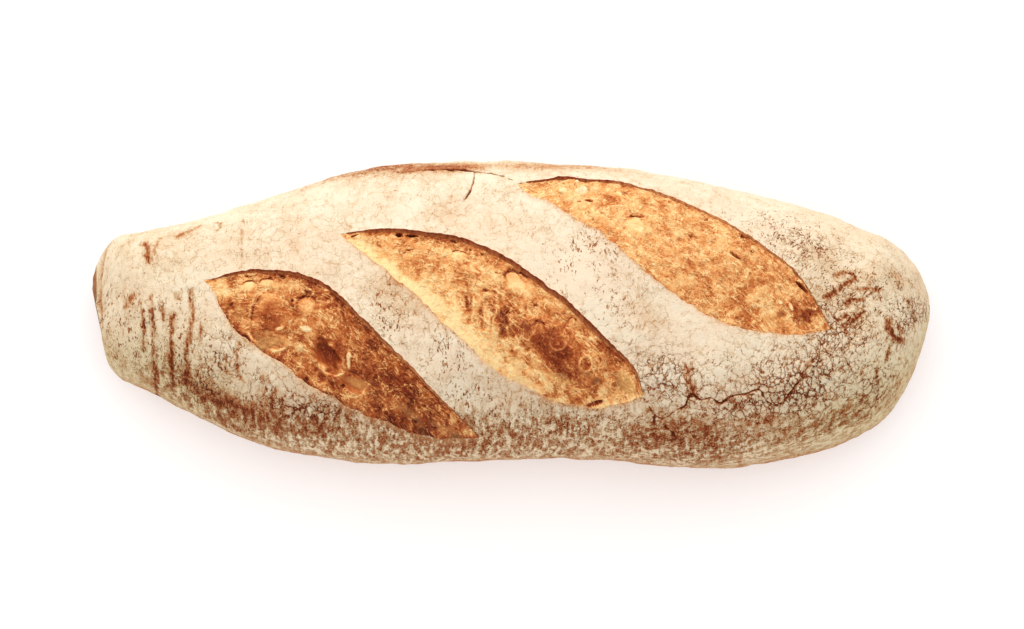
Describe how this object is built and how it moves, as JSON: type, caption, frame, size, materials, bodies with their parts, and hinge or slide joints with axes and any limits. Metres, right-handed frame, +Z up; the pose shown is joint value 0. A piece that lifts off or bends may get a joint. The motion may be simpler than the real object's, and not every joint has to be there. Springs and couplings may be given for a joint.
{
  "type": "sourdough loaf",
  "caption": "Long oval bread loaf with a flat base, a floured crust and slanting bursts along its top, whose lips stand up over the open crumb.",
  "frame": {"origin": "middle of the flat base, straight under the middle of the loaf's outline", "axes": "+X along the loaf, from the blunt end to the pointed end; +Z up; +Y to the side that the scores' raised lips face"},
  "size_m": [0.3108, 0.1132, 0.0775],
  "materials": {
    "crust": "dry floured crust, cream over brown, cracked and fully matte",
    "crumb": "baked open crumb, golden to chestnut, strands and blisters with a low satin",
    "flour": "loose caked flour, pale cream and powdery"
  },
  "bodies": {
    "root": {"loaf": "crust"}
  },
  "joints": []
}
